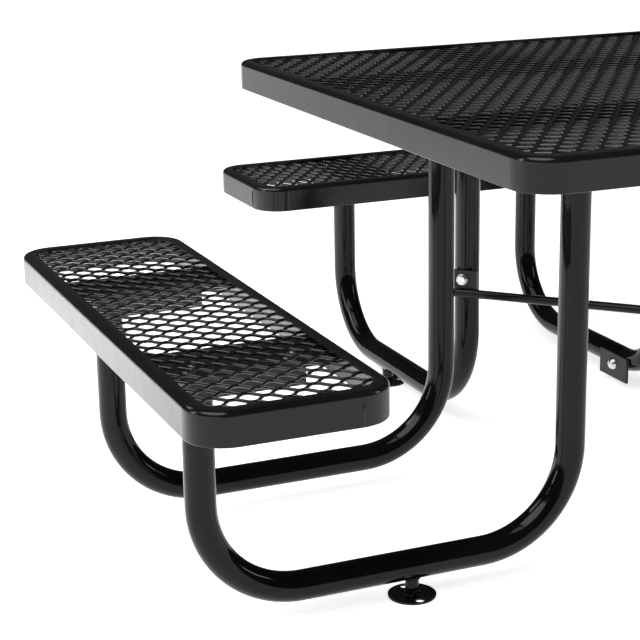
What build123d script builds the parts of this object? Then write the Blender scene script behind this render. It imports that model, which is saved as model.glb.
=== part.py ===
from build123d import *
import math
import os

os.makedirs("parts", exist_ok=True)

# An outdoor picnic table with seats on the left, back and right, and an open front.
# Millimetres, +Z up, +X to the right, +Y to the back. The model is made around the
# middle of the tabletop and saved around the middle of the footprint, on the floor.

# Tabletop and seats
table_height = 762.0
top_width = 1296.0
top_depth = 1156.0
seat_height = 453.0
seat_width = 298.0
seat_length = 1020.0
seat_reach = 950.0          # middle of the table to the middle of a seat

# Formed rims
rim_height = 50.8
rim_wall = 3.0
rim_flange = 23.0           # outer edge to the opening
rim_corner_radius = 60.0
rim_edge_radius = 8.0
rim_foot_radius = 2.0

# Expanded-metal panels, welded under the rim's flange
sheet_thickness = 4.0
sheet_lap = 8.0
diamond_length = 50.8
diamond_width = 37.0
strand_width = 6.5

# Bent tubes, two for each seat
tube_radius = 48.3 / 2
tube_wall = 3.2
bend_radius = 160.0
run_height = 54.0           # floor to the middle of the ground run
frame_offset = 235.0        # middle of the seat to each tube
leg_reach = 1008.0          # middle of the table to a seat leg
side_upright_reach = 374.0
back_upright_reach = 400.0

# Plates and brackets under the panels
plate_drop = 18.0           # top of a rim to the top of the plate
plate_thickness = 5.0
plate_width = 140.0
plate_lip = 20.0
bracket_length = 184.0
bracket_width = 120.0
bracket_lip = 25.0
bolt_spacing = 156.0
bolt_shift = -35.0          # bolts stand beside the tube

# Fasteners
bolt_radius = 5.0
hole_radius = 5.5
hex_across = 17.0
head_height = 6.4
nut_height = 8.0
washer_radius = 11.0
washer_thickness = 1.6
thread_past_nut = 3.0

# Foot discs
foot_radius = 39.0
foot_thickness = 3.0
foot_stem_radius = 11.0
side_foot_from_upright = 285.0
back_foot_from_upright = 378.0
foot_hole_radius = 7.0
foot_hole_spacing = 58.0

# Diagonal brace rod
brace_radius = 8.5
brace_height = 304.0
brace_bolt_height = 330.0
brace_overrun = 32.0
tab_thickness = 6.0
tab_height = 36.0
tab_length = 60.0

# Side plate with a dome-headed bolt, on the back right tube
side_plate_length = 106.0
side_plate_height = 54.0
side_plate_reach = 556.0
side_plate_bottom = 14.0
side_bolt_height = 45.0
dome_radius = 13.5
dome_height = 11.0

gap = 0.1                   # clearance of a bolt in its nut and of a tab on the rod
through = 120.0             # longer than any hole is deep
near = 0.01                 # how close an edge is to the height it is picked by

panel_drop = rim_wall + sheet_thickness
bracket_top = plate_drop + plate_thickness
tube_drop = bracket_top + plate_thickness
footprint_middle = (seat_reach + seat_width / 2 - top_depth / 2) / 2
seats = {"left": 90.0, "back": 0.0, "right": -90.0}
upright_reach = {
    "left": side_upright_reach,
    "back": back_upright_reach,
    "right": side_upright_reach,
}
foot_from_upright = {
    "left": side_foot_from_upright,
    "back": back_foot_from_upright,
    "right": side_foot_from_upright,
}

# Each seat is made as the back one, then turned, so its two sides get their own names
side_names = {
    "left": {"front": -frame_offset, "rear": frame_offset},
    "back": {"left": -frame_offset, "right": frame_offset},
    "right": {"rear": -frame_offset, "front": frame_offset},
}
down = (Align.CENTER, Align.CENTER, Align.MAX)
up = (Align.CENTER, Align.CENTER, Align.MIN)


def save(shape, name):
    """Write one node, moved so that the footprint's middle is the origin."""
    export_step(Pos(0, -footprint_middle, 0) * shape, f"parts/{name}.step")


def slab(width, depth, radius, bottom, top):
    """A rounded rectangular block between two heights."""
    outline = Plane.XY.offset(bottom) * RectangleRounded(width, depth, radius)
    return extrude(outline, top - bottom)


def edges_at(shape, height):
    return shape.edges().filter_by_position(Axis.Z, height - near, height + near)


def rim(width, depth, top):
    """A band with rounded corners, a rolled top edge and a flat flange inside it."""
    bottom = top - rim_height
    body = slab(width, depth, rim_corner_radius, bottom, top)
    body = fillet(edges_at(body, top), rim_edge_radius)
    body = fillet(edges_at(body, bottom), rim_foot_radius)
    inset = 2 * rim_wall
    pocket = slab(width - inset, depth - inset, rim_corner_radius - rim_wall, bottom, top - rim_wall)
    pocket = fillet(edges_at(pocket, top - rim_wall), rim_edge_radius - rim_wall)
    inset = 2 * rim_flange
    opening = slab(width - inset, depth - inset, rim_corner_radius - rim_flange, bottom, top)
    return body - pocket - opening


def diamond_centres(width, depth):
    """Centres of the diamonds that fit whole in the opening; the long way is along X."""
    reach_x = width / 2 - diamond_length / 2
    reach_y = depth / 2 - diamond_width / 2
    columns = int(width / diamond_length) + 1
    rows = int(depth / diamond_width) + 1
    for row in range(-2 * rows, 2 * rows + 1):
        for column in range(-columns, columns + 1):
            x = (column + 0.5 * (row % 2)) * diamond_length
            y = row * diamond_width / 2
            if abs(x) <= reach_x and abs(y) <= reach_y:
                yield x, y


def panel(width, depth, top):
    """An expanded sheet for a rim of this size, as a flat plate with diamond holes."""
    opening = (width - 2 * rim_flange, depth - 2 * rim_flange)
    corner = rim_corner_radius - rim_flange + sheet_lap
    outline = RectangleRounded(opening[0] + 2 * sheet_lap, opening[1] + 2 * sheet_lap, corner)
    lean = math.atan2(diamond_width, diamond_length)
    half_long = diamond_length / 2 - strand_width / 2 / math.sin(lean)
    half_short = diamond_width / 2 - strand_width / 2 / math.cos(lean)
    corners = [(half_long, 0), (0, half_short), (-half_long, 0), (0, -half_short)]
    holes = []
    for x, y in diamond_centres(*opening):
        points = [(x + dx, y + dy) for dx, dy in corners]
        holes.append(Polyline(*points, close=True).wire())
    face = Face(outline.face().outer_wire(), holes)
    return Pos(0, 0, top - panel_drop) * extrude(face, sheet_thickness, dir=(0, 0, 1))


def bolt_places(centre):
    """Where two bolts stand beside a tube at this centre, in plan."""
    x, y = centre
    return [(x + bolt_shift, y - bolt_spacing / 2), (x + bolt_shift, y + bolt_spacing / 2)]


def bolt_holes(centre, top):
    """Drills for the two bolts, from the top of a plate through to its underside."""
    drill = Cylinder(hole_radius, plate_thickness, align=down)
    return [Pos(x, y, top) * drill for x, y in bolt_places(centre)]


def channel(centre, length, width, top, lip):
    """A plate along Y with its two long edges turned down."""
    x, y = centre
    body = Pos(x, y, top) * Box(width, length, plate_thickness + lip, align=down)
    inside = Box(width - 2 * plate_thickness, length, plate_thickness + lip, align=down)
    return body - Pos(x, y, top - plate_thickness) * inside


def seat_plate(offset):
    """The plate across a seat, between the rim's side walls."""
    top = seat_height - plate_drop
    body = Box(plate_width, seat_width - 2 * rim_wall, plate_thickness, align=down)
    return Pos(offset, seat_reach, top) * body - bolt_holes((offset, seat_reach), top)


def bracket(centre, height):
    """The turned-down bracket at the end of a tube, bolted under a plate."""
    top = height - bracket_top
    body = channel(centre, bracket_length, bracket_width, top, bracket_lip)
    return body - bolt_holes(centre, top)


def tube(offset, upright):
    """One bent tube: seat leg, ground run and table upright."""
    leg_top = seat_height - tube_drop
    upright_top = table_height - tube_drop
    path = FilletPolyline(
        (offset, leg_reach, leg_top),
        (offset, leg_reach, run_height),
        (offset, upright, run_height),
        (offset, upright, upright_top),
        radius=bend_radius,
    )
    ring = Circle(tube_radius) - Circle(tube_radius - tube_wall)
    return sweep(Pos(offset, leg_reach, leg_top) * ring, path)


def foot(offset, y):
    """A disc with two anchor holes, on a stem that meets the ground run."""
    disc = Pos(offset, y, 0) * Cylinder(foot_radius, foot_thickness, align=up)
    stem = Pos(offset, y, 0) * Cylinder(foot_stem_radius, run_height, align=up)
    run = Pos(offset, y, run_height) * Rot(90, 0, 0) * Cylinder(tube_radius, through)
    body = disc + (stem - run)
    for side in (-1, 1):
        hole = Cylinder(foot_hole_radius, foot_thickness, align=up)
        body -= Pos(offset + side * foot_hole_spacing / 2, y, 0) * hole
    return body


def hexagon(height):
    return extrude(RegularPolygon(hex_across / 2, 6, major_radius=False), height)


def bolt(grip):
    """A hex bolt, its head above the origin and its shank below."""
    length = grip + nut_height + thread_past_nut
    return hexagon(head_height) + Cylinder(bolt_radius, length, align=down)


def nut():
    """A hex nut below the origin."""
    body = Pos(0, 0, -nut_height) * hexagon(nut_height)
    return body - Cylinder(bolt_radius + gap, through)


def washer():
    """A washer standing on the origin."""
    body = Cylinder(washer_radius, washer_thickness, align=up)
    return body - Cylinder(bolt_radius + gap, through)


def fasteners(places, height):
    """Bolts, washers and nuts through a plate and a bracket, at plan positions."""
    plate_top = height - plate_drop
    grip = washer_thickness + 2 * plate_thickness
    bolts = [Pos(x, y, plate_top + washer_thickness) * bolt(grip) for x, y in places]
    washers = [Pos(x, y, plate_top) * washer() for x, y in places]
    nuts = [Pos(x, y, plate_top - 2 * plate_thickness) * nut() for x, y in places]
    return bolts, washers, nuts


def turned(point, angle):
    """A plan position, turned about the middle of the table."""
    turn = math.radians(angle)
    x, y = point
    return (x * math.cos(turn) - y * math.sin(turn), x * math.sin(turn) + y * math.cos(turn))


# The brace rod runs beside two uprights, from the back left to the front right.
brace_start = (-frame_offset, back_upright_reach)
brace_end = (side_upright_reach, -frame_offset)
brace_run = (brace_end[0] - brace_start[0], brace_end[1] - brace_start[1])
brace_angle = math.degrees(math.atan2(brace_run[1], brace_run[0]))
brace_length = math.hypot(*brace_run)


def beside_upright(point, height):
    """A place at an upright: X along the rod, Z away from the tube, Y up."""
    return Pos(point[0], point[1], height) * Rot(0, 0, brace_angle) * Rot(90, 0, 0)


def brace_rod():
    middle = tuple((s + e) / 2 for s, e in zip(brace_start, brace_end))
    rod = Rot(0, 90, 0) * Cylinder(brace_radius, brace_length + 2 * brace_overrun)
    return beside_upright(middle, brace_height) * Pos(0, 0, tube_radius + brace_radius) * rod


def brace_tab(point):
    """A flat tab that stands on the rod and lies against the upright."""
    stand = (Align.CENTER, Align.MIN, Align.MIN)
    body = Pos(0, 0, tube_radius) * Box(tab_length, tab_height, tab_thickness, align=stand)
    foot_height = brace_height + brace_radius + gap
    drill = Pos(0, brace_bolt_height - foot_height, 0) * Cylinder(hole_radius, through)
    return beside_upright(point, foot_height) * (body - drill)


def brace_drill(point):
    """The hole for a tab's bolt, through an upright."""
    return beside_upright(point, brace_bolt_height) * Cylinder(hole_radius, through)


def brace_fasteners():
    """A bolt, a washer and a nut through each tab and its upright."""
    face = tube_radius + tab_thickness
    grip = washer_thickness + face + tube_radius
    bolts, washers, nuts = [], [], []
    for point in (brace_start, brace_end):
        place = beside_upright(point, brace_bolt_height)
        bolts.append(place * Pos(0, 0, face + washer_thickness) * bolt(grip))
        washers.append(place * Pos(0, 0, face) * washer())
        nuts.append(place * Pos(0, 0, -tube_radius) * nut())
    return bolts, washers, nuts


def side_plate_place(height):
    """On the inner side of the back right tube: Z points to the left."""
    return Pos(frame_offset - tube_radius, side_plate_reach, height) * Rot(0, -90, 0)


def side_plate():
    """A flat plate welded along the inner side of the tube."""
    low = (Align.MIN, Align.CENTER, Align.MIN)
    body = Box(side_plate_height, side_plate_length, tab_thickness, align=low)
    drill = Pos(side_bolt_height - side_plate_bottom, 0, 0) * Cylinder(hole_radius, through)
    return side_plate_place(side_plate_bottom) * (body - drill)


def side_drill():
    """The hole for the dome-headed bolt, through the tube."""
    return side_plate_place(side_bolt_height) * Cylinder(hole_radius, through)


def side_bolt():
    """A dome-headed bolt through the side plate and the tube."""
    ball_radius = (dome_radius ** 2 + dome_height ** 2) / (2 * dome_height)
    ball = Pos(0, 0, dome_height - ball_radius) * Sphere(ball_radius)
    dome = ball & Box(through, through, through, align=up)
    length = tab_thickness + 2 * tube_radius + nut_height + thread_past_nut
    body = dome + Cylinder(bolt_radius, length, align=down)
    return side_plate_place(side_bolt_height) * Pos(0, 0, tab_thickness) * body


def side_nut():
    return side_plate_place(side_bolt_height) * Pos(0, 0, -2 * tube_radius) * nut()


# Tabletop: the diamonds' long way runs from front to back
save(rim(top_width, top_depth, table_height), "tabletop_rim")
save(Rot(0, 0, 90) * panel(top_depth, top_width, table_height), "tabletop_mesh")

# Two channels across the tabletop, and two short ones to its back wall
top_plate = table_height - plate_drop
cross_length = top_width - 2 * rim_wall
back_start = frame_offset + plate_width / 2
back_length = top_depth / 2 - rim_wall - back_start
for name, offset in {"front": -frame_offset, "rear": frame_offset}.items():
    body = Rot(0, 0, 90) * channel((offset, 0), cross_length, plate_width, top_plate, plate_lip)
    for seat in ("left", "right"):
        for side in side_names[seat].values():
            drills = bolt_holes((side, side_upright_reach), top_plate)
            body -= Rot(0, 0, seats[seat]) * Compound(children=drills)
    save(body, f"tabletop_{name}_channel")
for name, offset in side_names["back"].items():
    centre = (offset, back_start + back_length / 2)
    body = channel(centre, back_length, plate_width, top_plate, plate_lip)
    body -= bolt_holes((offset, back_upright_reach), top_plate)
    save(body, f"tabletop_back_{name}_channel")

# Seats with their plates, brackets, tubes and feet
seat_places, top_places = [], []
for seat, angle in seats.items():
    turn = Rot(0, 0, angle)
    upright = upright_reach[seat]
    save(turn * Pos(0, seat_reach, 0) * rim(seat_length, seat_width, seat_height), f"{seat}_seat_rim")
    sheet = Rot(0, 0, 90) * panel(seat_width, seat_length, seat_height)
    save(turn * Pos(0, seat_reach, 0) * sheet, f"{seat}_seat_mesh")
    for side, offset in side_names[seat].items():
        save(turn * seat_plate(offset), f"{seat}_seat_{side}_plate")
        save(turn * bracket((offset, seat_reach), seat_height), f"{seat}_seat_{side}_bracket")
        save(turn * bracket((offset, upright), table_height), f"{seat}_top_{side}_bracket")
        body = turn * tube(offset, upright)
        if (seat, side) == ("back", "left"):
            body -= brace_drill(brace_start)
        if (seat, side) == ("right", "front"):
            body -= brace_drill(brace_end)
        if (seat, side) == ("back", "right"):
            body -= side_drill()
        save(body, f"{seat}_{side}_tube")
        seat_places += [turned(place, angle) for place in bolt_places((offset, seat_reach))]
        top_places += [turned(place, angle) for place in bolt_places((offset, upright))]
    foot_reach = upright + foot_from_upright[seat]
    save(turn * foot(-frame_offset, foot_reach), f"{seat}_foot_disc")

# Brace rod and side plate
save(brace_rod(), "brace_rod")
save(brace_tab(brace_start), "brace_tab_back_left")
save(brace_tab(brace_end), "brace_tab_front_right")
save(side_plate(), "side_plate")
save(side_bolt(), "side_plate_bolt")
save(side_nut(), "side_plate_nut")

# Identical fasteners share a node
groups = {
    "seat": fasteners(seat_places, seat_height),
    "tabletop": fasteners(top_places, table_height),
    "brace": brace_fasteners(),
}
for name, group in groups.items():
    for kind, solids in zip(("bolts", "washers", "nuts"), group):
        save(Compound(children=solids), f"{name}_{kind}")
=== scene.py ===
import math
import random

import bpy
from mathutils import Matrix, Vector


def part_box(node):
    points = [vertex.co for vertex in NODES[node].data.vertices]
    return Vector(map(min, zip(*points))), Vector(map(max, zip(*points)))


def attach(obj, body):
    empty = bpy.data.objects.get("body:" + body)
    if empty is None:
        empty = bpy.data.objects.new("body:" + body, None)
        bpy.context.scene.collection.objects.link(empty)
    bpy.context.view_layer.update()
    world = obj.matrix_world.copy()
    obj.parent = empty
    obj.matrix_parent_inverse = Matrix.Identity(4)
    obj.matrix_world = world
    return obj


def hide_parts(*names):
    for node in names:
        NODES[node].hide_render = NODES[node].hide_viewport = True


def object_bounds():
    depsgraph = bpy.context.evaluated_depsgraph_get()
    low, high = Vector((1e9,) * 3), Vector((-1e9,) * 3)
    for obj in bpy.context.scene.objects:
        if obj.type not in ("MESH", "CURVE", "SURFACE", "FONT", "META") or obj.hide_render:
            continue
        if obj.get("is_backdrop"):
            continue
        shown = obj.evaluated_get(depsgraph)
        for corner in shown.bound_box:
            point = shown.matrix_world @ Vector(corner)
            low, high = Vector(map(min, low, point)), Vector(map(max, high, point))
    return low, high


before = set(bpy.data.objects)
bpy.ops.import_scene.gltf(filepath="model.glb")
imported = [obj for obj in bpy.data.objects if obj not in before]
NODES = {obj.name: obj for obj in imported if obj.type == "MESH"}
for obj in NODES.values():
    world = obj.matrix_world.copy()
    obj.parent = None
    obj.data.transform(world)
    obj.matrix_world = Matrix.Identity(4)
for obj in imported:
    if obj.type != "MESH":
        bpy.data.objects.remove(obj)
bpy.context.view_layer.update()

# An outdoor picnic table. Everything is in metres, in the frame of the CAD model.
MM = 0.001
SEATS = {"left": 90, "back": 0, "right": -90}

# Sizes of the CAD rims and sheets
RIM_FLANGE = 23 * MM
CORNER_RADIUS = 60 * MM
SHEET_TOP_DROP = 3 * MM
SHEET_LAP = 8 * MM
DIAMOND_LENGTH = 50.8 * MM
DIAMOND_WIDTH = 37 * MM

# The strands of the expanded metal, with their dipped coating
STRAND_WIDTH = 6.0 * MM
STRAND_DEPTH = 4.8 * MM
STRAND_TILT = math.radians(22)
KNUCKLE_OFFSET = 1.9 * MM
SLANTED_WIDENING = 1.25
# From one knuckle to the next: how far along, and how far across the strand has gone
STRAND_STEPS = ((0, 0), (0.11, 0), (0.25, 0.11), (0.75, 0.89), (0.89, 1))
# A strand's rounded outline, in half widths and half depths
STRAND_OUTLINE = (
    (1, -0.45), (1, 0.45), (0.62, 1), (-0.62, 1),
    (-1, 0.45), (-1, -0.45), (-0.62, -1), (0.62, -1),
)

# Tubes, plates and fasteners
TUBE_RADIUS = 24.15 * MM
PLATE_THICKNESS = 5 * MM
FOOT_STEM_RADIUS = 11 * MM
FOOT_DISC_THICKNESS = 3 * MM
RUN_HEIGHT = 54 * MM
BOLT_RADIUS = 5 * MM
HEX_ACROSS = 17 * MM
HEAD_HEIGHT = 6.4 * MM
NUT_HEIGHT = 8 * MM
WASHER_RADIUS = 11 * MM
WASHER_THICKNESS = 1.6 * MM
THREAD_PITCH = 1.5 * MM
THREAD_DEPTH = 0.7 * MM
THREAD_PAST_NUT = 3 * MM
FASTENER_REACH = 85 * MM


# ---------------------------------------------------------------- mesh helpers


def make_object(name, vertices, faces, smooth=True):
    mesh = bpy.data.meshes.new(name)
    mesh.from_pydata([tuple(v) for v in vertices], [], faces)
    mesh.validate()
    mesh.polygons.foreach_set("use_smooth", [smooth] * len(mesh.polygons))
    piece = bpy.data.objects.new(name, mesh)
    bpy.context.scene.collection.objects.link(piece)
    return piece


def add_rings(vertices, faces, rings, closed=False):
    """Joins rings of points, all as long as each other, into a skin with capped ends."""
    start, count = len(vertices), len(rings[0])
    for ring in rings:
        vertices.extend(ring)
    last = len(rings) if closed else len(rings) - 1
    for i in range(last):
        a, b = start + i * count, start + (i + 1) % len(rings) * count
        for k in range(count):
            n = (k + 1) % count
            faces.append((a + k, a + n, b + n, b + k))
    if not closed:
        faces.append(tuple(start + k for k in reversed(range(count))))
        faces.append(tuple(start + last * count + k for k in range(count)))


def placed(point, axis):
    """A matrix whose Z is the axis, at the point."""
    return Matrix.Translation(point) @ axis.to_track_quat("Z", "Y").to_matrix().to_4x4()


def solids(node):
    """The centres of a node's separate small solids."""
    groups = []
    for vertex in NODES[node].data.vertices:
        for group in groups:
            if (vertex.co - group[0]).length < FASTENER_REACH:
                group.append(vertex.co)
                break
        else:
            groups.append([vertex.co])
    corners = [(Vector(map(min, zip(*g))), Vector(map(max, zip(*g)))) for g in groups]
    return [(low + high) / 2 for low, high in corners]


def finish_piece(piece, material, slot, *nodes):
    """Gives a piece its material and its place in the frame."""
    piece.data.materials.append(material)
    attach(piece, "root")
    if nodes:
        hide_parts(*nodes)
    return piece


# ---------------------------------------------------------------- materials


def new_material(name):
    material = bpy.data.materials.new(name)
    material.use_nodes = True
    tree = material.node_tree
    tree.nodes.clear()
    output = tree.nodes.new("ShaderNodeOutputMaterial")
    shader = tree.nodes.new("ShaderNodeBsdfPrincipled")
    tree.links.new(shader.outputs["BSDF"], output.inputs["Surface"])
    return material, tree, shader


def noise(tree, scale, detail=3.0, stretch=(1, 1, 1)):
    """Noise in the frame's metres."""
    place = tree.nodes.new("ShaderNodeTexCoord")
    mapping = tree.nodes.new("ShaderNodeMapping")
    mapping.inputs["Scale"].default_value = stretch
    texture = tree.nodes.new("ShaderNodeTexNoise")
    texture.inputs["Scale"].default_value = scale
    texture.inputs["Detail"].default_value = detail
    tree.links.new(place.outputs["Object"], mapping.inputs["Vector"])
    tree.links.new(mapping.outputs["Vector"], texture.inputs["Vector"])
    return texture.outputs["Fac"]


def remap(tree, value, source, target):
    node = tree.nodes.new("ShaderNodeMapRange")
    names = ("From Min", "From Max", "To Min", "To Max")
    for name, number in zip(names, (*source, *target)):
        node.inputs[name].default_value = number
    tree.links.new(value, node.inputs["Value"])
    return node.outputs["Result"]


def blend_colours(tree, factor, first, second):
    """Two colours, or a colour and a colour socket, mixed by a factor."""
    node = tree.nodes.new("ShaderNodeMix")
    node.data_type = "RGBA"
    colour_inputs = [s for s in node.inputs if s.type == "RGBA"]
    for socket, colour in zip(colour_inputs, (first, second)):
        if isinstance(colour, tuple):
            socket.default_value = (*colour, 1)
        else:
            tree.links.new(colour, socket)
    tree.links.new(factor, node.inputs[0])
    return [s for s in node.outputs if s.type == "RGBA"][0]


def add_bumps(tree, shader, *bumps):
    """Lays bumps over each other, each a height and its depth in metres."""
    normal = None
    for height, depth in bumps:
        node = tree.nodes.new("ShaderNodeBump")
        node.inputs["Distance"].default_value = depth
        tree.links.new(height, node.inputs["Height"])
        if normal:
            tree.links.new(normal, node.inputs["Normal"])
        normal = node.outputs["Normal"]
    tree.links.new(normal, shader.inputs["Normal"])


def edge_mask(tree, strength):
    """0 on flat places, and up to the strength on sharp outer edges."""
    geometry = tree.nodes.new("ShaderNodeNewGeometry")
    return remap(tree, geometry.outputs["Pointiness"], (0.53, 0.62), (0, strength))


def coating(name, dark, light, roughness, peel, wear, ior):
    """A black coating: slow drifts of shade and gloss, orange peel, fine dust and paler edges."""
    material, tree, shader = new_material(name)
    shade = remap(tree, noise(tree, 5), (0.3, 0.7), (0, 1))
    colour = blend_colours(tree, shade, dark, light)
    dust = remap(tree, noise(tree, 1100, 2), (0.68, 0.82), (0, 0.05))
    colour = blend_colours(tree, dust, colour, (0.18, 0.175, 0.165))
    colour = blend_colours(tree, edge_mask(tree, wear), colour, (0.06, 0.06, 0.063))
    tree.links.new(colour, shader.inputs["Base Color"])
    gloss = remap(tree, noise(tree, 28, 4), (0.3, 0.7), roughness)
    tree.links.new(gloss, shader.inputs["Roughness"])
    shader.inputs["IOR"].default_value = ior
    add_bumps(tree, shader, (noise(tree, 22), 0.5 * MM), (noise(tree, 420, 2), peel))
    return material


def zinc(name):
    """Bright zinc plate: brushed, with drifts of tint and dull spots."""
    material, tree, shader = new_material(name)
    shade = remap(tree, noise(tree, 60, 4), (0.35, 0.7), (0, 1))
    colour = blend_colours(tree, shade, (0.78, 0.79, 0.80), (0.62, 0.63, 0.60))
    spots = remap(tree, noise(tree, 420, 3), (0.58, 0.72), (0, 0.55))
    colour = blend_colours(tree, spots, colour, (0.40, 0.40, 0.39))
    tree.links.new(colour, shader.inputs["Base Color"])
    shader.inputs["Metallic"].default_value = 1.0
    gloss = remap(tree, noise(tree, 150, 3), (0.3, 0.7), (0.2, 0.42))
    tree.links.new(gloss, shader.inputs["Roughness"])
    brushing = noise(tree, 300, 2, stretch=(6, 1, 1))
    add_bumps(tree, shader, (brushing, 0.05 * MM))
    return material


# Dark shade, light shade, roughness, depth of the orange peel, paleness of edges, IOR
rim_material = coating(
    "rim_coating", (0.005, 0.005, 0.0055), (0.009, 0.009, 0.0095), (0.12, 0.2), 0.02 * MM, 0.3, 1.36)
mesh_material = coating(
    "mesh_coating", (0.005, 0.005, 0.0055), (0.010, 0.010, 0.0105), (0.2, 0.32), 0.03 * MM, 0.4, 1.5)
tube_material = coating(
    "tube_coating", (0.002, 0.002, 0.0022), (0.004, 0.004, 0.0043), (0.07, 0.13), 0.012 * MM, 0.15, 1.29)
plate_material = coating(
    "plate_coating", (0.003, 0.003, 0.0032), (0.006, 0.006, 0.0064), (0.25, 0.4), 0.03 * MM, 0.3, 1.3)
zinc_material = zinc("zinc_fasteners")


# ---------------------------------------------------------------- expanded metal


class Outline:
    """A rounded rectangle around a centre, as wide and as long as the sheet."""

    def __init__(self, low, high):
        grow = RIM_FLANGE - SHEET_LAP
        self.centre = (low + high).xy / 2
        self.half = (high - low).xy / 2 - Vector((grow, grow))
        self.radius = CORNER_RADIUS - grow

    def holds(self, x, y):
        dx = abs(x - self.centre.x) - self.half.x + self.radius
        dy = abs(y - self.centre.y) - self.half.y + self.radius
        outside = math.hypot(max(dx, 0), max(dy, 0)) + min(max(dx, dy), 0)
        return outside <= self.radius


def strand_rings(along, across, row, count):
    """The stations of one strand that weaves between two rows of knuckles.

    A station is how far along, how far across, how high and how wide it is there."""
    aside = KNUCKLE_OFFSET * math.cos(STRAND_TILT)
    lift = KNUCKLE_OFFSET * math.sin(STRAND_TILT)
    stations = []
    for knuckle in range(-count, count):
        rising = (knuckle + row) % 2 == 1
        for step, share in STRAND_STEPS:
            part = share if rising else 1 - share
            near = row * DIAMOND_WIDTH / 2 + aside
            far = (row + 1) * DIAMOND_WIDTH / 2 - aside
            widening = SLANTED_WIDENING if 0 < share < 1 else 1
            stations.append((
                along + (knuckle + step) * DIAMOND_LENGTH / 2,
                across + near + (far - near) * part,
                lift * (1 - 2 * part),
                widening,
            ))
    return stations


def clipped(stations, inside):
    """The stretches of a strand that lie inside, each cut off on the boundary."""

    def cut(kept, dropped):
        for _ in range(12):
            middle = tuple((a + b) / 2 for a, b in zip(kept, dropped))
            if inside(middle):
                kept = middle
            else:
                dropped = middle
        return kept

    runs, run = [], []
    for before, after in zip(stations, stations[1:]):
        if inside(before) and not run:
            run = [before]
        if inside(after):
            if not run:
                run = [cut(after, before)]
            run.append(after)
        elif run:
            run.append(cut(run[-1], after))
            runs.append(run)
            run = []
    if run:
        runs.append(run)
    return runs


def expanded_metal(node, rim, lengthwise, lean):
    """An expanded sheet in a rim. lengthwise is the axis of the diamonds' long way."""
    low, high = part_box(rim)
    outline = Outline(low, high)
    tilt = STRAND_TILT * lean
    half_height = (KNUCKLE_OFFSET + STRAND_WIDTH / 2) * math.sin(STRAND_TILT)
    half_height += STRAND_DEPTH / 2 * math.cos(STRAND_TILT)
    middle = high.z - SHEET_TOP_DROP - half_height
    along_y = lengthwise == "Y"
    along, across = (outline.centre.y, outline.centre.x) if along_y else outline.centre
    half_along, half_across = (outline.half.y, outline.half.x) if along_y else outline.half

    def inside(station):
        x, y = (station[1], station[0]) if along_y else station[:2]
        return outline.holds(x, y)

    def ring(station):
        points = []
        for a, b in STRAND_OUTLINE:
            a, b = a * STRAND_WIDTH / 2 * station[3], b * STRAND_DEPTH / 2
            v = station[1] + a * math.cos(tilt) - b * math.sin(tilt)
            z = middle + station[2] * lean + a * math.sin(tilt) + b * math.cos(tilt)
            points.append((v, station[0], z) if along_y else (station[0], v, z))
        return points

    vertices, faces = [], []
    rows = int(half_across / DIAMOND_WIDTH * 2) + 2
    count = int(half_along / DIAMOND_LENGTH * 2) + 2
    for row in range(-rows, rows):
        for run in clipped(strand_rings(along, across, row, count), inside):
            if len(run) > 1:
                add_rings(vertices, faces, [ring(station) for station in run])
    piece = make_object(f"{node}_strands", vertices, faces)
    return finish_piece(piece, mesh_material, "mesh_coating", node)


expanded_metal("tabletop_mesh", "tabletop_rim", "Y", -1)
expanded_metal("left_seat_mesh", "left_seat_rim", "X", -1)
expanded_metal("back_seat_mesh", "back_seat_rim", "Y", 1)
expanded_metal("right_seat_mesh", "right_seat_rim", "X", 1)


# ---------------------------------------------------------------- fasteners

ROUND_STEPS = 36
HEX_LEVELS = (0, 0.06, 0.12, 0.2, 0.8, 0.88, 0.94, 1)
CHAMFER_START = HEX_ACROSS / 2 * 0.96
CHAMFER_SLOPE = math.tan(math.radians(60))
DISH_RADII = (HEX_ACROSS * 0.36, HEX_ACROSS * 0.34)
DISH_DEPTH = 0.3 * MM
WASHER_EDGE = 0.3 * MM


def hexagon_radius(angle):
    """How far a hexagon reaches at an angle, with its corners at 30, 90, ... degrees."""
    sixth = math.pi / 3
    return HEX_ACROSS / 2 / math.cos((angle + sixth / 2) % sixth - sixth / 2)


def hex_rings(height, bottom_chamfer, top_chamfer):
    """Rings of a hexagonal block whose corners are turned off at the ends."""
    rings = []
    for level in HEX_LEVELS:
        z = level * height
        reach = HEX_ACROSS
        if bottom_chamfer:
            reach = min(reach, CHAMFER_START + z * CHAMFER_SLOPE)
        if top_chamfer:
            reach = min(reach, CHAMFER_START + (height - z) * CHAMFER_SLOPE)
        ring = []
        for step in range(ROUND_STEPS):
            angle = 2 * math.pi * step / ROUND_STEPS
            radius = min(hexagon_radius(angle), reach)
            ring.append(Vector((radius * math.cos(angle), radius * math.sin(angle), z)))
        rings.append(ring)
    return rings


def circle_ring(radius, z):
    angles = [2 * math.pi * step / ROUND_STEPS for step in range(ROUND_STEPS)]
    return [Vector((radius * math.cos(a), radius * math.sin(a), z)) for a in angles]


def bolt_parts(length):
    """A chamfered hex head above the origin and a threaded shank below it."""
    head = hex_rings(HEAD_HEIGHT, False, True)
    rim_radius, floor_radius = DISH_RADII
    dish = [
        circle_ring(rim_radius, HEAD_HEIGHT),
        circle_ring(floor_radius, HEAD_HEIGHT - DISH_DEPTH),
    ]
    turns = int(length / THREAD_PITCH)
    shank = [circle_ring(BOLT_RADIUS, 0)]
    for turn in range(turns):
        top = -turn * THREAD_PITCH
        shank.append(circle_ring(BOLT_RADIUS - THREAD_DEPTH, top - THREAD_PITCH / 2))
        shank.append(circle_ring(BOLT_RADIUS, top - THREAD_PITCH))
    shank.append(circle_ring(BOLT_RADIUS - THREAD_DEPTH, -length))
    return [(head + dish, False), (list(reversed(shank)), False)]


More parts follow.
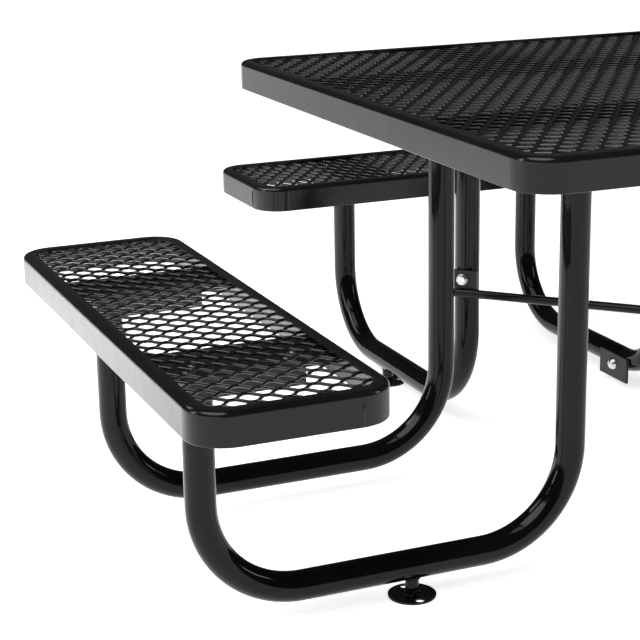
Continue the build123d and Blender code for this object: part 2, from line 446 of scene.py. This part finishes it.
def nut_parts():
    """A chamfered nut above the origin, with a bore."""
    outer = hex_rings(NUT_HEIGHT, True, True)
    bore = [circle_ring(BOLT_RADIUS, NUT_HEIGHT), circle_ring(BOLT_RADIUS, 0)]
    return [(outer + bore, True)]


def washer_parts():
    """A flat washer above the origin, with softened edges and a bore."""
    outer = [
        circle_ring(WASHER_RADIUS - WASHER_EDGE, 0),
        circle_ring(WASHER_RADIUS, WASHER_EDGE),
        circle_ring(WASHER_RADIUS, WASHER_THICKNESS - WASHER_EDGE),
        circle_ring(WASHER_RADIUS - WASHER_EDGE, WASHER_THICKNESS),
    ]
    bore = [circle_ring(BOLT_RADIUS, WASHER_THICKNESS), circle_ring(BOLT_RADIUS, 0)]
    return [(outer + bore, True)]


def add_parts(target, parts, place):
    vertices, faces = target
    for rings, closed in parts:
        moved = [[place @ point for point in ring] for ring in rings]
        add_rings(vertices, faces, moved, closed)


def fasteners(group, turns):
    """Detailed bolts, washers and nuts where the CAD ones are."""
    kinds = {"bolts": ([], []), "washers": ([], []), "nuts": ([], [])}
    nuts = solids(f"{group}_nuts")
    for washer in solids(f"{group}_washers"):
        nut = min(nuts, key=lambda place: (place - washer).length)
        axis = (washer - nut).normalized()
        spin = Matrix.Rotation(turns.uniform(0, math.pi / 3), 4, "Z")
        seat = washer + axis * WASHER_THICKNESS / 2
        length = (seat - nut).length + NUT_HEIGHT / 2 + THREAD_PAST_NUT
        add_parts(kinds["bolts"], bolt_parts(length), placed(seat, axis) @ spin)
        under = washer - axis * WASHER_THICKNESS / 2
        add_parts(kinds["washers"], washer_parts(), placed(under, axis))
        spin = Matrix.Rotation(turns.uniform(0, math.pi / 3), 4, "Z")
        add_parts(kinds["nuts"], nut_parts(), placed(nut - axis * NUT_HEIGHT / 2, axis) @ spin)
    for kind, (vertices, faces) in kinds.items():
        piece = make_object(f"{group}_{kind}_detailed", vertices, faces, smooth=False)
        finish_piece(piece, zinc_material, "zinc_fasteners", f"{group}_{kind}")


spins = random.Random(7)
for group in ("seat", "tabletop", "brace"):
    fasteners(group, spins)


# ---------------------------------------------------------------- welds

BEAD_RADIUS = 2.6 * MM
BEAD_PITCH = 3.4 * MM
BEAD_CREST, BEAD_TROUGH = 1.06, 0.88
BEAD_OUTLINE_STEPS = 8


def bead(target, path):
    """A rippled weld bead along a closed path of points."""
    rings = []
    for i, point in enumerate(path):
        forward = (path[(i + 1) % len(path)] - path[i - 1]).normalized()
        side = forward.cross(Vector((0, 0, 1))).normalized()
        upward = side.cross(forward)
        radius = BEAD_RADIUS * (BEAD_TROUGH if i % 2 else BEAD_CREST)
        ring = []
        for step in range(BEAD_OUTLINE_STEPS):
            angle = 2 * math.pi * step / BEAD_OUTLINE_STEPS
            ring.append(point + radius * (math.cos(angle) * side + math.sin(angle) * upward))
        rings.append(ring)
    add_rings(*target, rings, closed=True)


def bead_circle(centre, radius, height_at=lambda angle: 0.0):
    steps = max(16, int(2 * math.pi * radius / BEAD_PITCH) * 2)
    angles = [2 * math.pi * step / steps for step in range(steps)]
    return [
        centre + Vector((radius * math.cos(a), radius * math.sin(a), height_at(a))) for a in angles
    ]


tube_welds = ([], [])
for seat in SEATS:
    sides = ("left", "right") if seat == "back" else ("front", "rear")
    for side in sides:
        for end in ("seat", "top"):
            low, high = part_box(f"{seat}_{end}_{side}_bracket")
            centre = (low + high) / 2
            centre.z = high.z - PLATE_THICKNESS
            bead(tube_welds, bead_circle(centre, TUBE_RADIUS))
finish_piece(make_object("tube_end_welds", *tube_welds), plate_material, "plate_coating")



def saddle(across):
    """The height of a foot stem's top edge, where it meets the round underside of the tube."""

    def height_at(angle):
        aside = FOOT_STEM_RADIUS * math.cos(angle - across)
        return RUN_HEIGHT - math.sqrt(TUBE_RADIUS ** 2 - aside ** 2)

    return height_at


foot_welds = ([], [])
for seat, turn in SEATS.items():
    low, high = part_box(f"{seat}_foot_disc")
    centre = (low + high).xy / 2
    across = 0 if turn == 0 else math.pi / 2
    on_disc = Vector((*centre, FOOT_DISC_THICKNESS))
    on_floor = Vector((*centre, 0))
    bead(foot_welds, bead_circle(on_disc, FOOT_STEM_RADIUS))
    bead(foot_welds, bead_circle(on_floor, FOOT_STEM_RADIUS, saddle(across)))
finish_piece(make_object("foot_welds", *foot_welds), tube_material, "tube_coating")


# Two upright seams on one inner corner of each seat's rim, where its bend begins and ends
SEAM_RADIUS = 1.8 * MM
SEAM_TAPER = 0.7
SEAM_ENDS = (6 * MM, 11 * MM)
SEAM_STEPS = 10


def seam_ring(place, z, radius):
    angles = [2 * math.pi * step / SEAM_STEPS for step in range(SEAM_STEPS)]
    turned = [Vector((math.cos(a), math.sin(a), 0)) for a in angles]
    return [Vector((place.x, place.y, z)) + radius * direction for direction in turned]


corner_seams = ([], [])
for seat, turn in SEATS.items():
    low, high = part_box(f"{seat}_seat_rim")
    quarter = Matrix.Rotation(math.radians(turn), 4, "Z")
    middle = (low + high) / 2
    half = (high - low) / 2
    half_along, half_across = (half.x, half.y) if turn == 0 else (half.y, half.x)
    for x, y in (
        (-half_along + CORNER_RADIUS, -half_across),
        (-half_along, -half_across + CORNER_RADIUS),
    ):
        place = quarter @ Vector((x, y, 0)) + middle
        add_rings(*corner_seams, [
            seam_ring(place, low.z + SEAM_ENDS[0], SEAM_RADIUS * SEAM_TAPER),
            seam_ring(place, middle.z, SEAM_RADIUS),
            seam_ring(place, high.z - SEAM_ENDS[1], SEAM_RADIUS * SEAM_TAPER),
        ])
finish_piece(make_object("corner_seams", *corner_seams), rim_material, "rim_coating")


# ---------------------------------------------------------------- materials of the CAD nodes


def cad_material(name):
    if name.endswith("_rim"):
        return rim_material
    if name.endswith(("_tube", "_rod", "_disc")):
        return tube_material
    if name.endswith(("_bolts", "_nuts", "_washers", "_bolt", "_nut")):
        return zinc_material
    if name.endswith("_mesh"):
        return mesh_material
    return plate_material


for name, node in NODES.items():
    node.data.materials.clear()
    node.data.materials.append(cad_material(name))


# ---------------------------------------------------------------- camera, light and floor

# The view of the reference: from the left of the open front, a little above the tabletop
CAMERA_PLACE = Vector((-1.7492, -2.7813, 1.1873))
CAMERA_AZIMUTH = math.radians(-22.336)
CAMERA_ELEVATION = math.radians(16.043)
CAMERA_ROLL = math.radians(0.986)
CAMERA_LENS = 96.92


def add_camera():
    data = bpy.data.cameras.new("camera")
    camera = bpy.data.objects.new("camera", data)
    bpy.context.scene.collection.objects.link(camera)
    azimuth, elevation = CAMERA_AZIMUTH, CAMERA_ELEVATION
    back = Vector((
        math.sin(azimuth) * math.cos(elevation),
        -math.cos(azimuth) * math.cos(elevation),
        math.sin(elevation),
    ))
    level = Vector((math.cos(azimuth), math.sin(azimuth), 0))
    upward = back.cross(level)
    right = level * math.cos(CAMERA_ROLL) - upward * math.sin(CAMERA_ROLL)
    upward = back.cross(right)
    turn = Matrix((right, upward, back)).transposed().to_4x4()
    camera.matrix_world = Matrix.Translation(CAMERA_PLACE) @ turn
    data.lens = CAMERA_LENS
    data.sensor_width = 36
    bpy.context.scene.camera = camera


def add_light(kind, name, place, target, power):
    data = bpy.data.lights.new(name, kind)
    data.energy = power
    light = bpy.data.objects.new(name, data)
    bpy.context.scene.collection.objects.link(light)
    direction = Vector(target) - Vector(place)
    turn = direction.to_track_quat("-Z", "Y").to_matrix().to_4x4()
    light.matrix_world = Matrix.Translation(place) @ turn
    light.visible_camera = False
    return data


def add_softbox(name, place, target, size, power, spread=180):
    data = add_light("AREA", name, place, target, power)
    data.shape = "RECTANGLE"
    data.size, data.size_y = size
    data.spread = math.radians(spread)


FLOOR_HALF = 30.0
FLOOR_GLOW = 0.72
SKY_SEEN, SKY_REFLECTED = 1.2, 0.05


def add_floor():
    half = FLOOR_HALF
    corners = [(-half, -half, 0), (half, -half, 0), (half, half, 0), (-half, half, 0)]
    floor = make_object("floor", corners, [(0, 1, 2, 3)], smooth=False)
    material, tree, shader = new_material("floor_paint")
    shade = remap(tree, noise(tree, 1.5), (0.3, 0.7), (0, 1))
    colour = blend_colours(tree, shade, (0.90, 0.90, 0.90), (0.93, 0.93, 0.93))
    tree.links.new(colour, shader.inputs["Base Color"])
    shader.inputs["Roughness"].default_value = 0.9
    shader.inputs["Specular IOR Level"].default_value = 0.1
    shader.inputs["Emission Color"].default_value = (1, 1, 1, 1)
    shader.inputs["Emission Strength"].default_value = FLOOR_GLOW
    floor.data.materials.append(material)
    floor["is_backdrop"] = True


def add_world():
    """White behind the table, but nearly dark where the table reflects it."""
    world = bpy.data.worlds.new("studio")
    world.use_nodes = True
    tree = world.node_tree
    background = tree.nodes["Background"]
    background.inputs["Color"].default_value = (1, 1, 1, 1)
    path = tree.nodes.new("ShaderNodeLightPath")
    strength = remap(tree, path.outputs["Is Camera Ray"], (0, 1), (SKY_REFLECTED, SKY_SEEN))
    tree.links.new(strength, background.inputs["Strength"])
    bpy.context.scene.world = world


add_camera()
add_world()
add_floor()
middle = (0, -0.1, 0.4)
overhead = add_light("SUN", "overhead_light", (-3.0, -1.5, 6.0), middle, 2.3)
overhead.angle = math.radians(50)
add_softbox("left_softbox", (-4.5, 0.4, 1.6), middle, (0.8, 2.2), 35)
add_softbox("floor_pool", (-1.8, 1.1, 1.5), (-1.8, 1.1, 0), (1.0, 1.4), 24, spread=120)
add_softbox("right_softbox", (4.0, -2.5, 2.4), middle, (0.6, 2.5), 30)
bpy.context.scene.view_settings.view_transform = "Standard"

low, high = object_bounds()
